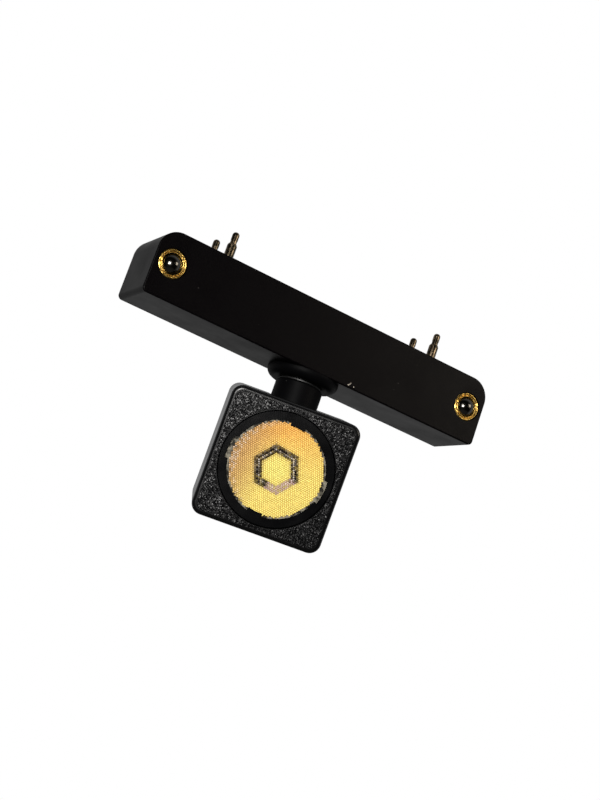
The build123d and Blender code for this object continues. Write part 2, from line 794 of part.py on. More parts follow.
def build_adapter():
    """Write the fixed pieces of the adapter bar."""
    save("adapter_body", adapter_body())
    save("contact_plate", contact_plate())
    screws = [Pos(side * plate_boss_x, 0, 0) * countersunk_screw(plate_screw_length) for side in (-1, 1)]
    save("plate_screws", *screws)
    save("driver_board", driver_board())
    save("inductor", inductor())
    save("smoothing_capacitor", smoothing_capacitor())
    save("driver_chip", chip(driver_chip_x, 0, driver_chip_size))
    save("rectifier", chip(rectifier_x, 0, rectifier_size))
    save("chip_components", *chip_components())
    save("swivel_bush", swivel_place * swivel_bush())
    save("stop_pin", swivel_place * stop_pin())
    save("adapter_wire_red", swivel_place * adapter_wire(1))
    save("adapter_wire_black", swivel_place * adapter_wire(-1))


def build_contacts():
    """Write the four contact pins: barrel, plunger and spring each."""
    barrel = contact_barrel()
    plunger = contact_plunger()
    spring = contact_spring()
    for name, (x, y) in zip(pin_names, pin_places):
        place = Pos(x, y, 0)
        save(f"contact_barrel_{name}", place * barrel)
        save(f"contact_plunger_{name}", place * plunger)
        save(f"contact_spring_{name}", place * spring)


def build_detents():
    """Write the four ball detents: sleeve, ball and spring each."""
    sleeve = detent_sleeve()
    ball = detent_ball()
    spring = detent_spring()
    for name, x, turn in [
        ("left_front", -detent_x, 0),
        ("left_rear", -detent_x, 180),
        ("right_front", detent_x, 0),
        ("right_rear", detent_x, 180),
    ]:
        place = Pos(x, 0, detent_z) * Rot(0, 0, turn)
        save(f"detent_sleeve_{name}", place * sleeve)
        save(f"detent_ball_{name}", place * ball)
        save(f"detent_spring_{name}", place * spring)


def build_stem():
    """Write the pieces that swivel: stem, washers, nut, tilt screws and the leads inside."""
    save("stem", stem_place * stem())
    save("swivel_washer", stem_place * swivel_washer())
    save("stop_washer", stem_place * stop_washer())
    save("spring_washer", stem_place * spring_washer())
    save("swivel_nut", stem_place * swivel_nut())
    hinge_place = stem_place * Pos(0, 0, -pivot_drop)
    save("pivot_screws", *[hinge_place * pivot_screw(side) for side in (-1, 1)])
    save("tilt_washers", *[hinge_place * tilt_washer(side) for side in (-1, 1)])
    save("stem_wire_red", stem_place * stem_wire(1))
    save("stem_wire_black", stem_place * stem_wire(-1))


def build_head():
    """Write the pieces that tilt."""
    save("head_shell", head_place * head_shell())
    save("rear_cover", head_place * rear_cover())
    cover_screws = [
        head_place * Pos(x, rear_y, z) * Rot(-90, 0, 0) * countersunk_screw(cover_screw_length)
        for x, z in cover_screw_places
    ]
    save("cover_screws", *cover_screws)
    save("tilt_bracket", head_place * tilt_bracket())
    bracket_screws = [
        head_place * Pos(x, bracket_rear, z) * Rot(-90, 0, 0) * pan_screw(bracket_screw_length)
        for x, z in bracket_screw_places
    ]
    save("bracket_screws", *bracket_screws)
    save("led_board", head_place * led_board())
    led_screws = [
        head_place
        * Pos(side * led_screw_spacing / 2, led_board_front, optic_z)
        * Rot(90, 0, 0)
        * pan_screw(led_screw_length)
        for side in (-1, 1)
    ]
    save("led_board_screws", *led_screws)
    save("led_package", head_place * led_package())
    save("led_phosphor", head_place * led_phosphor())
    save("tir_lens", head_place * tir_lens())
    save("lens_holder", head_place * lens_holder())
    save("head_wire_red", head_place * head_wire(1))
    save("head_wire_black", head_place * head_wire(-1))


os.makedirs("parts", exist_ok=True)
build_adapter()
build_contacts()
build_detents()
build_stem()
build_head()
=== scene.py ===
"""Looks of a low-voltage track spotlight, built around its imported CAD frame.

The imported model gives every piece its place. This file dresses each CAD node in a finish, adds the
surfaces that are finer than the CAD (the grained bezel, the honeycomb lens face and the staked
detent sleeves), and sets up a plain studio.
"""

import json
import logging
import math
import random
from dataclasses import dataclass, field
from enum import Enum
from typing import Callable, Iterable, Sequence

import bpy
from mathutils import Matrix, Vector, noise


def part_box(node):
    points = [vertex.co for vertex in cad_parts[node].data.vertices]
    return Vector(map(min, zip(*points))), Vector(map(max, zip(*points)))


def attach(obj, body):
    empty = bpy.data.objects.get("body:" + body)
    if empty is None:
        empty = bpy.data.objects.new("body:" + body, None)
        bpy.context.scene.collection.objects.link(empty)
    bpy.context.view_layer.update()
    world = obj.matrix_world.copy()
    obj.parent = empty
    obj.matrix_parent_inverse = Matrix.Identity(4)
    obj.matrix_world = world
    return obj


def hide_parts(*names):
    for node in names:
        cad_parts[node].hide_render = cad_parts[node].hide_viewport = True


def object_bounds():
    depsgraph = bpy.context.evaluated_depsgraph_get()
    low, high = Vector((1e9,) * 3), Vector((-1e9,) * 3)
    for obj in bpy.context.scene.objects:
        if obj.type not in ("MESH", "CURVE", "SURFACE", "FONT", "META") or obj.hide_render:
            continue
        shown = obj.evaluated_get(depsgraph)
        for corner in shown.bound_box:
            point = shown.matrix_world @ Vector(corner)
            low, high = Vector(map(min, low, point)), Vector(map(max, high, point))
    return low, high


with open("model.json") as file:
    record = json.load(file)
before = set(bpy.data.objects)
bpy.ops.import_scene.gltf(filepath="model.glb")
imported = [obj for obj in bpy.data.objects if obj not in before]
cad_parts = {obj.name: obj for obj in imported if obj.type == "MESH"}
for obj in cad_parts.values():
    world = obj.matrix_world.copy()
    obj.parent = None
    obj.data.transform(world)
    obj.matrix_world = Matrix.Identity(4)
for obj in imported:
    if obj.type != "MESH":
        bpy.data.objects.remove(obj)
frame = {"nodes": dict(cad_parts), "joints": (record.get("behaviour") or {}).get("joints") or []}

CAD_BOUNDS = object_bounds()
MM = 0.001
CORNERS = ("left_front", "left_rear", "right_front", "right_rear")

log = logging.getLogger("spotlight")

Point = tuple[float, float, float]
Colour = tuple[float, float, float, float]
Face = tuple[int, ...]
Tree = bpy.types.NodeTree
Node = bpy.types.Node
Socket = bpy.types.NodeSocket


# ---------------------------------------------------------------------------
# Colours and shader nodes
# ---------------------------------------------------------------------------
def linear(code: str, alpha: float = 1.0) -> Colour:
    """Turn an sRGB hex colour into the linear colour that a shader takes.

    Args:
        code: Six hex digits after a hash, such as "#1A1A1C".
        alpha: The fourth channel.

    Returns:
        Linear red, green, blue and alpha.
    """
    parts = [int(code[i : i + 2], 16) / 255.0 for i in (1, 3, 5)]
    lin = [p / 12.92 if p <= 0.04045 else ((p + 0.055) / 1.055) ** 2.4 for p in parts]
    return (lin[0], lin[1], lin[2], alpha)


def per_metre(size_mm: float) -> float:
    """Return the texture scale that gives a pattern one feature every size_mm."""
    return 1.0 / (size_mm * MM)


def add_node(tree: Tree, kind: str, settings: dict | None = None, inputs: dict | None = None) -> Node:
    """Add one shader node with its settings and links.

    Args:
        tree: The node tree that takes it.
        kind: The node's type name in Blender.
        settings: Values for the node's own properties.
        inputs: For each input socket, a value, or the output socket that feeds it.

    Returns:
        The new node.
    """
    node = tree.nodes.new(kind)
    for key, value in (settings or {}).items():
        setattr(node, key, value)
    for key, value in (inputs or {}).items():
        socket = node.inputs[key]
        if isinstance(value, Socket):
            tree.links.new(value, socket)
        else:
            socket.default_value = value
    return node


def blend(tree: Tree, share: Socket, under: Colour | Socket, over: Colour | Socket) -> Socket:
    """Mix two colours by a share, and return the socket of the result."""
    inputs = {"Factor": share, "A": under, "B": over}
    return add_node(tree, "ShaderNodeMix", {"data_type": "RGBA"}, inputs).outputs["Result"]


def ramp(
    tree: Tree, value: Socket, start: float, end: float, low: float = 0.0, high: float = 1.0
) -> Socket:
    """Stretch the range from start to end onto the one from low to high.

    Args:
        tree: The node tree that takes the node.
        value: The socket that gives the value.
        start: The value that becomes low.
        end: The value that becomes high.
        low: What the result starts at.
        high: What the result ends at.

    Returns:
        The socket of the result.
    """
    inputs = {"Value": value, "From Min": start, "From Max": end, "To Min": low, "To Max": high}
    return add_node(tree, "ShaderNodeMapRange", inputs=inputs).outputs["Result"]


def noise_at(tree: Tree, where: Socket, size_mm: float, **inputs: float) -> Socket:
    """Add a noise with one feature every size_mm.

    Args:
        tree: The node tree that takes the node.
        where: The socket that gives the point on the surface, in metres.
        size_mm: Size of a feature in mm.
        inputs: The noise's other inputs by name, such as Detail.

    Returns:
        The socket of the noise's value.
    """
    settings = {"Vector": where, "Scale": per_metre(size_mm), **inputs}
    return add_node(tree, "ShaderNodeTexNoise", inputs=settings).outputs["Fac"]


def bump(tree: Tree, height: Socket, depth_mm: float, **inputs: Socket) -> Socket:
    """Raise a height in the surface's normal, and return the socket of the new normal."""
    settings = {"Height": height, "Distance": depth_mm * MM, "Strength": 1.0, **inputs}
    return add_node(tree, "ShaderNodeBump", inputs=settings).outputs["Normal"]


def vector_math(tree: Tree, operation: str, *inputs: Socket | Point) -> Node:
    """Add one step of vector arithmetic on sockets or fixed vectors."""
    return add_node(tree, "ShaderNodeVectorMath", {"operation": operation}, dict(enumerate(inputs)))


# ---------------------------------------------------------------------------
# Finishes
# ---------------------------------------------------------------------------
@dataclass(frozen=True)
class Finish:
    """A surface finish: what the material is, and how its surface was made.

    Attributes:
        name: The Blender material's name.
        colour: Base colour, sRGB hex.
        roughness: Mean roughness.
        metallic: 1 for bare metal, 0 for anything else.
        ior: Index of refraction of what isn't metal.
        specular: Strength of the surface's own reflection; 0.5 is a clean smooth surface.
        grain_mm: Size of one grain of the surface.
        grain_depth_mm: How deep the grain is.
        patch_mm: Size of the soft patches in which the gloss drifts.
        roughness_spread: How far the roughness drifts to each side.
    """

    name: str
    colour: str
    roughness: float
    metallic: float = 0.0
    ior: float = 1.5
    specular: float = 0.5
    grain_mm: float = 0.3
    grain_depth_mm: float = 0.003
    patch_mm: float = 7.0
    roughness_spread: float = 0.05

    def build(self) -> bpy.types.Material:
        """Make the material once and return it."""
        known = bpy.data.materials.get(self.name)
        if known:
            return known
        material = bpy.data.materials.new(self.name)
        material.use_nodes = True
        tree = material.node_tree
        tree.nodes.clear()
        base = {
            "Base Color": linear(self.colour),
            "Roughness": self.roughness,
            "Metallic": self.metallic,
        }
        shader = add_node(tree, "ShaderNodeBsdfPrincipled", inputs=base)
        if not self.metallic:
            shader.inputs["IOR"].default_value = self.ior
            shader.inputs["Specular IOR Level"].default_value = self.specular
        add_node(tree, "ShaderNodeOutputMaterial", inputs={"Surface": shader.outputs[0]})
        where = add_node(tree, "ShaderNodeTexCoord").outputs["Object"]
        self.pattern(tree, shader, where)
        return material

    def pattern(self, tree: Tree, shader: Node, where: Socket) -> None:
        """Add the grain and the drifting gloss that every finish has.

        Args:
            tree: The material's node tree.
            shader: Its surface shader.
            where: The socket that gives the point on the surface, in metres.
        """
        grain = noise_at(tree, where, self.grain_mm, Detail=3.0, Roughness=0.6)
        tree.links.new(bump(tree, grain, self.grain_depth_mm), shader.inputs["Normal"])
        self.add_drift(tree, shader, where)

    def add_drift(self, tree: Tree, shader: Node, where: Socket) -> None:
        """Let the gloss drift in soft patches, as handling and coating leave it."""
        patches = noise_at(tree, where, self.patch_mm, Detail=4.0, Roughness=0.65)
        self.spread_gloss(tree, shader, patches, 0.3, 0.7)

    def spread_gloss(self, tree: Tree, shader: Node, value: Socket, start: float, end: float) -> None:
        """Let a value from start to end move the roughness to each side of its mean."""
        smooth, rough = self.roughness - self.roughness_spread, self.roughness + self.roughness_spread
        tree.links.new(ramp(tree, value, start, end, smooth, rough), shader.inputs["Roughness"])


@dataclass(frozen=True)
class AnodisedAluminium(Finish):
    """Black hard-anodised aluminium, bead-blasted first: dark, even, with a broad soft sheen.

    Attributes:
        dust: Colour of the fine dust flecks that cling to the coat, sRGB hex.
        fleck_mm: Size of a fleck.
        fleck_spacing_mm: Mean distance between flecks.
        bare: Colour of the metal where the coat is chipped, sRGB hex.
        chips: Places (row frame, mm) and half sizes (mm) of small chips along an edge.
    """

    dust: str = "#3A3836"
    fleck_mm: float = 0.14
    fleck_spacing_mm: float = 3.2
    bare: str = "#A09C96"
    chips: tuple[tuple[Point, Point], ...] = ()

    def pattern(self, tree: Tree, shader: Node, where: Socket) -> None:
        """Add grain and drift, a trace of dust, and bare metal in the chips."""
        super().pattern(tree, shader, where)
        spots = {"Vector": where, "Scale": per_metre(self.fleck_spacing_mm), "Randomness": 1.0}
        flecks = add_node(tree, "ShaderNodeTexVoronoi", inputs=spots)
        reach = self.fleck_mm / self.fleck_spacing_mm
        fleck = ramp(tree, flecks.outputs["Distance"], 0.5 * reach, reach, 1.0, 0.0)
        coat = blend(tree, fleck, linear(self.colour), linear(self.dust))
        masks = [self.chip_mask(tree, where, place, half) for place, half in self.chips]
        if masks:
            mask = masks[0]
            for spot in masks[1:]:
                both = {0: mask, 1: spot}
                mask = add_node(tree, "ShaderNodeMath", {"operation": "MAXIMUM"}, both).outputs[0]
            coat = blend(tree, mask, coat, linear(self.bare))
            tree.links.new(mask, shader.inputs["Metallic"])
        tree.links.new(coat, shader.inputs["Base Color"])

    def chip_mask(self, tree: Tree, where: Socket, place: Point, half: Point) -> Socket:
        """Return a socket that is 1 inside one chip and 0 outside it.

        Args:
            tree: The material's node tree.
            where: The socket that gives the point on the surface, in metres.
            place: The chip's centre in mm.
            half: Its half sizes in mm.

        Returns:
            The mask's socket.
        """
        offset = vector_math(tree, "SUBTRACT", where, tuple(c * MM for c in place))
        scaled = vector_math(tree, "DIVIDE", offset.outputs[0], tuple(h * MM for h in half))
        reach = vector_math(tree, "LENGTH", scaled.outputs[0])
        return ramp(tree, reach.outputs["Value"], 0.75, 1.0, 1.0, 0.0)


@dataclass(frozen=True)
class PowderCoat(Finish):
    """Sand-grained black powder coat: a rough skin whose grains catch the light one by one.

    Attributes:
        painted_glint: Painted sparkle: a lighter base colour that a share of the grains gets in place of
            the light they catch, sRGB hex.
        painted_glint_share: Share of the grains that get the painted sparkle colour, from 0 to 1.
        facet_tilt: How far a grain's face leans from the surface, as a slope.
        fine_share: Size of the skin's own unevenness, as a share of a grain.
    """

    painted_glint: str = "#3A3A3C"
    painted_glint_share: float = 0.3
    facet_tilt: float = 0.3
    fine_share: float = 0.8

    def pattern(self, tree: Tree, shader: Node, where: Socket) -> None:
        """Give each grain its own gloss and slant, and paint sparkle into some grains' base colour."""
        cells = {"Vector": where, "Scale": per_metre(self.grain_mm), "Randomness": 1.0}
        own = add_node(tree, "ShaderNodeTexVoronoi", {"feature": "F1"}, cells).outputs["Color"]
        tone = add_node(tree, "ShaderNodeSeparateColor", inputs={"Color": own}).outputs
        # Painted sparkle: a share of the grains gets a lighter base colour in place of the light they
        # catch.
        bright = ramp(tree, tone["Red"], 1.0 - self.painted_glint_share, 1.0)
        colour = blend(tree, bright, linear(self.colour), linear(self.painted_glint))
        tree.links.new(colour, shader.inputs["Base Color"])
        self.spread_gloss(tree, shader, tone["Green"], 0.0, 1.0)
        lean = vector_math(tree, "SUBTRACT", own, (0.5, 0.5, 0.5)).outputs[0]
        normal = add_node(tree, "ShaderNodeNewGeometry").outputs["Normal"]
        facet = vector_math(tree, "MULTIPLY_ADD", lean, (self.facet_tilt,) * 3, normal)
        slant = vector_math(tree, "NORMALIZE", facet.outputs[0]).outputs[0]
        fine = noise_at(tree, where, self.grain_mm * self.fine_share, Detail=4.0, Roughness=0.7)
        skin = bump(tree, fine, self.grain_depth_mm, Normal=slant)
        tree.links.new(skin, shader.inputs["Normal"])


@dataclass(frozen=True)
class MouldedPlastic(Finish):
    """Injection-moulded plastic with a spark-eroded mould grain: even and slightly waxy."""


@dataclass(frozen=True)
class CastCeramic(Finish):
    """Fired ceramic or pressed ferrite: matt, faintly speckled.

    Attributes:
        speck: Colour of the specks, sRGB hex.
        speck_share: The most that a speck covers the body's colour, from 0 to 1.
    """

    speck: str = "#6A665E"
    speck_share: float = 0.4

    def pattern(self, tree: Tree, shader: Node, where: Socket) -> None:
        """Add grain, drift and a faint speckle."""
        super().pattern(tree, shader, where)
        specks = noise_at(tree, where, self.grain_mm * 1.5, Detail=2.0)
        share = ramp(tree, specks, 0.55, 0.75, high=self.speck_share)
        colour = blend(tree, share, linear(self.colour), linear(self.speck))
        tree.links.new(colour, shader.inputs["Base Color"])


class Working(Enum):
    """How a bare metal's surface was left; the value stretches its tool marks along X, Y and Z."""

    TURNED = (0.08, 1.0, 1.0)
    DRAWN = (1.0, 1.0, 0.08)
    PLATED = (1.0, 1.0, 1.0)
    POLISHED = (1.0, 0.15, 1.0)


@dataclass(frozen=True)
class WorkedMetal(Finish):
    """Bare metal that keeps the marks of its working and the tarnish of its age.

    Attributes:
        working: How the surface was made.
        tarnish: Colour of the oxide, sRGB hex.
        tarnish_share: Share of the surface under oxide, from 0 to 1.
        mark_mm: Spacing of the tool marks.
        cloud_share: Size of a cloud of oxide, as a share of a patch of gloss.
    """

    metallic: float = 1.0
    working: Working = Working.TURNED
    tarnish: str = "#3A2A18"
    tarnish_share: float = 0.2
    mark_mm: float = 0.12
    cloud_share: float = 0.3

    def pattern(self, tree: Tree, shader: Node, where: Socket) -> None:
        """Add tool marks, drifting gloss and tarnish."""
        along = vector_math(tree, "MULTIPLY", where, self.working.value).outputs[0]
        marks = noise_at(tree, along, self.mark_mm, Detail=2.0)
        tree.links.new(bump(tree, marks, self.grain_depth_mm), shader.inputs["Normal"])
        self.add_drift(tree, shader, where)
        clouds = noise_at(tree, where, self.patch_mm * self.cloud_share, Detail=5.0, Roughness=0.7)
        start = 0.75 - 0.5 * self.tarnish_share
        oxide = ramp(tree, clouds, start, start + 0.2)
        colour = blend(tree, oxide, linear(self.colour), linear(self.tarnish))
        tree.links.new(colour, shader.inputs["Base Color"])


@dataclass(frozen=True)
class ClearAcrylic(Finish):
    """Clear moulded acrylic: a water-clear body with glassy edges.

    Attributes:
        clearness: Share of the light that passes into the body.
        streak: Colour of the bright streaks where an edge leads light round, sRGB hex.
        streak_mm: Size of a streak.
    """

    clearness: float = 0.35
    streak: str = "#A39D8C"
    streak_mm: float = 1.5

    def pattern(self, tree: Tree, shader: Node, where: Socket) -> None:
        """Set how much light passes, and let the edges carry bright streaks."""
        shader.inputs["Transmission Weight"].default_value = self.clearness
        super().pattern(tree, shader, where)
        drift = noise_at(tree, where, self.streak_mm, Detail=2.0, Distortion=0.6)
        share = ramp(tree, drift, 0.43, 0.58)
        colour = blend(tree, share, linear(self.colour), linear(self.streak))
        tree.links.new(colour, shader.inputs["Base Color"])


@dataclass(frozen=True)
class HoneycombAcrylic(Finish):
    """The lens's front: clear acrylic lenslets filled with the yellow of the phosphor behind them.

    The collimator spreads the phosphor's colour over its whole face, so each lenslet carries its own
    tone, stored on the mesh and read here. The tones also hold painted sparkle highlights, painted shade
    on the left side and the painted reflection of the holder round the rim.

    Attributes:
        tone_layer: Name of the mesh layer that holds the tones.
    """

    tone_layer: str = "lenslet_tone"

    def pattern(self, tree: Tree, shader: Node, where: Socket) -> None:
        """Take the colour from the lenslets and let the gloss drift over them."""
        tone = add_node(tree, "ShaderNodeAttribute", {"attribute_name": self.tone_layer})
        tree.links.new(tone.outputs["Color"], shader.inputs["Base Color"])
        self.add_drift(tree, shader, where)


BAR_BLACK = AnodisedAluminium(
    "hard_anodised_aluminium_bar",
    "#040304",
    0.36,
    specular=0.055,
    grain_mm=0.35,
    grain_depth_mm=0.0025,
    patch_mm=9.0,
    # Damage to the front bottom edge, just right of the stem: a slanting nick in three spots, and a dot.
    chips=(
        ((8.05, -7.0, -13.42), (0.2, 0.4, 0.2)),
        ((8.25, -7.0, -13.2), (0.13, 0.4, 0.18)),
        ((8.45, -7.0, -12.95), (0.09, 0.4, 0.16)),
        ((9.3, -7.0, -13.35), (0.16, 0.4, 0.16)),
    ),
)
STEM_BLACK = AnodisedAluminium(
    "hard_anodised_aluminium_stem", "#050506", 0.5, specular=0.035, grain_mm=0.3, grain_depth_mm=0.002
)
HEAD_BLACK = AnodisedAluminium(
    "satin_painted_die_casting", "#060607", 0.26, specular=0.3, grain_mm=0.5, grain_depth_mm=0.001
)
HEAD_GRAIN = PowderCoat(
    "sand_grain_powder_coat",
    "#060607",
    0.27,
    specular=0.18,
    grain_mm=0.19,
    grain_depth_mm=0.003,
    roughness_spread=0.1,
    # Few grains get the painted sparkle colour.
    painted_glint_share=0.1,
)
PLATE_PLASTIC = MouldedPlastic("moulded_polycarbonate_plate", "#0E0E0F", 0.5, ior=1.58, grain_mm=0.25)
HOLDER_PLASTIC = MouldedPlastic(
    "polished_mould_lens_holder",
    "#040405",
    0.22,
    ior=1.53,
    specular=0.14,
    grain_mm=0.6,
    grain_depth_mm=0.001,
)
WASHER_PLASTIC = MouldedPlastic("turned_nylon_washer", "#0C0C0D", 0.5, ior=1.53)
CHIP_EPOXY = MouldedPlastic("moulded_epoxy_chip", "#1A1A1C", 0.6)
LAMINATE = MouldedPlastic("glass_epoxy_laminate", "#0F4A28", 0.4, grain_mm=0.5)
LED_BOARD_MASK = MouldedPlastic("white_solder_mask", "#E8E8E2", 0.45)
WIRE_RED = MouldedPlastic("extruded_pvc_red", "#A01414", 0.45)
WIRE_BLACK = MouldedPlastic("extruded_pvc_black", "#121212", 0.45)
PHOSPHOR = MouldedPlastic("cast_silicone_phosphor", "#F0C840", 0.5, ior=1.41)
FERRITE = CastCeramic("pressed_ferrite", "#2A2A2B", 0.7, speck="#3C3C3C")
ALUMINA = CastCeramic("fired_alumina", "#D8CDB8", 0.6, speck="#C2B59C")
DETENT_BRASS = WorkedMetal(
    "turned_brass_sleeve", "#D4B060", 0.3, tarnish="#4A3210", tarnish_share=0.45, patch_mm=2.6, mark_mm=0.5
)
CONTACT_BRASS = WorkedMetal(
    "tarnished_brass_pin",
    "#8A7A64",
    0.24,
    tarnish="#2A2820",
    tarnish_share=0.72,
    patch_mm=4.5,
    grain_depth_mm=0.0005,
)
BALL_STEEL = WorkedMetal(
    "lapped_steel_ball",
    "#565450",
    0.15,
    tarnish="#3B3836",
    tarnish_share=0.2,
    grain_depth_mm=0.0004,
    roughness_spread=0.03,
    working=Working.POLISHED,
)
SPRING_STEEL = WorkedMetal("drawn_spring_wire", "#9A9A98", 0.3, working=Working.DRAWN, tarnish="#5A5652")
PLATED_STEEL = WorkedMetal("zinc_plated_steel", "#B9B8B2", 0.35, working=Working.PLATED, tarnish="#8C8A80")
SCREW_STEEL = WorkedMetal("black_oxide_steel", "#1E1E20", 0.36, working=Working.PLATED, tarnish="#121213")
CAN_ALUMINIUM = WorkedMetal("drawn_aluminium_can", "#B8BABC", 0.3, working=Working.DRAWN, tarnish="#909294")
LENS_CLEAR = ClearAcrylic("moulded_acrylic_lens_body", "#34322C", 0.16, ior=1.49, grain_mm=0.8)
LENS_FACE = HoneycombAcrylic(
    "honeycomb_acrylic_face", "#F0C05C", 0.3, ior=1.49, specular=0.07, patch_mm=4.0
)


# ---------------------------------------------------------------------------
# Making and dressing pieces
# ---------------------------------------------------------------------------
def dress(nodes: Iterable[str], finish: Finish) -> None:
    """Give CAD nodes one finish.

    Args:
        nodes: The nodes' names.
        finish: What they are made of.
    """
    material = finish.build()
    for name in nodes:
        piece = frame["nodes"][name]
        if not piece.material_slots:
            piece.data.materials.append(material)
        for place in piece.material_slots:
            place.material = material
        log.info("dressed %s in %s", name, material.name)


def make_piece(
    name: str,
    points: Sequence[Point],
    faces: Sequence[Sequence[int]],
    finish: Finish,
    body: str,
    place: Matrix,
) -> bpy.types.Object:
    """Make one mesh piece that rides on a CAD body.

    Args:
        name: The piece's name.
        points: Its points in its own frame, in metres.
        faces: Point numbers of each face, wound outwards.
        finish: What it is made of.
        body: The CAD body that carries it.
        place: Where its own frame stands in the row frame.

    Returns:
        The new object.
    """
    mesh = bpy.data.meshes.new(name)
    mesh.from_pydata([tuple(p) for p in points], [], [tuple(f) for f in faces])
    mesh.validate()
    mesh.shade_smooth()
    mesh.materials.append(finish.build())
    piece = bpy.data.objects.new(name, mesh)
    bpy.context.scene.collection.objects.link(piece)
    piece.matrix_world = place
    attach(piece, body)
    log.info("made %s: %d points, riding on %s", name, len(mesh.vertices), body)
    return piece


def local_box(node: str, place: Matrix) -> tuple[Vector, Vector]:
    """Return a CAD node's box in a turned frame.

    Args:
        node: The node's name.
        place: The turned frame, as it stands in the row frame.

    Returns:
        Its lowest and highest corners in that frame, in mm.
    """
    inward = place.inverted()
    points = [inward @ v.co / MM for v in frame["nodes"][node].data.vertices]
    low = Vector([min(p[axis] for p in points) for axis in range(3)])
    high = Vector([max(p[axis] for p in points) for axis in range(3)])
    return low, high


def joint(name: str) -> dict:
    """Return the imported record's joint of that name."""
    return next(j for j in frame["joints"] if j["name"] == name)


def box_centre(node: str) -> Vector:
    """Return the middle of a CAD node's box at rest."""
    low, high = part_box(node)
    return (low + high) / 2


def head_frame() -> Matrix:
    """Return the head's own frame: origin on the tilt axis, +X along it, -Y the way the light goes."""
    tilt = joint("tilt")
    across = Vector(tilt["axis"]).normalized()
    up = Vector((0.0, 0.0, 1.0))
    rear = up.cross(across)
    level = Matrix((across, rear, up)).transposed().to_4x4()
    nose_down = Matrix.Rotation(math.radians(-tilt["range_deg"][0]), 4, "X")
    return Matrix.Translation(Vector(tilt["pos_m"])) @ level @ nose_down


def lathe(
    outline: Sequence[tuple[float, float]],
    steps: int,
    lift: Callable[[int, float], float] = lambda index, angle: 0.0,
) -> tuple[list[Point], list[Face]]:
    """Turn a closed outline about the Y axis.

    Args:
        outline: (radius, depth) points in mm; depth runs along +Y.
        steps: Number of steps round the axis.
        lift: Extra depth in mm for a point of the outline at an angle.

    Returns:
        The points in metres, and the faces.
    """
    points: list[Point] = []
    for step in range(steps):
        angle = 2 * math.pi * step / steps
        for index, (radius, depth) in enumerate(outline):
            y = depth + lift(index, angle)
            points.append((radius * math.cos(angle) * MM, y * MM, radius * math.sin(angle) * MM))
    count = len(outline)
    faces: list[Face] = []
    for step in range(steps):
        here, there = step * count, ((step + 1) % steps) * count
        for index in range(count):
            after = (index + 1) % count
            faces.append((here + index, here + after, there + after, there + index))
    return points, faces


# ---------------------------------------------------------------------------
# Sub-assemblies
# ---------------------------------------------------------------------------
@dataclass
class AdapterBar:
    """The black bar that clips into the track, with its plate and driver."""

    def build(self) -> None:
        """Dress the bar, its plate and what is inside."""
        dress(["adapter_body"], BAR_BLACK)
        dress(["contact_plate"], PLATE_PLASTIC)
        dress(["plate_screws"], SCREW_STEEL)
        dress(["driver_board"], LAMINATE)
        dress(["inductor"], FERRITE)
        dress(["smoothing_capacitor"], CAN_ALUMINIUM)
        dress(["driver_chip", "rectifier"], CHIP_EPOXY)
        dress(["chip_components"], ALUMINA)
        dress(["adapter_wire_red"], WIRE_RED)
        dress(["adapter_wire_black"], WIRE_BLACK)


@dataclass
class ContactPins:
    """The four sprung pins that touch the track's conductors."""

    def build(self) -> None:
        """Dress barrels and plungers in tarnished brass, springs in drawn wire."""
        dress([f"contact_barrel_{c}" for c in CORNERS], CONTACT_BRASS)
        dress([f"contact_plunger_{c}" for c in CORNERS], CONTACT_BRASS)
        dress([f"contact_spring_{c}" for c in CORNERS], SPRING_STEEL)


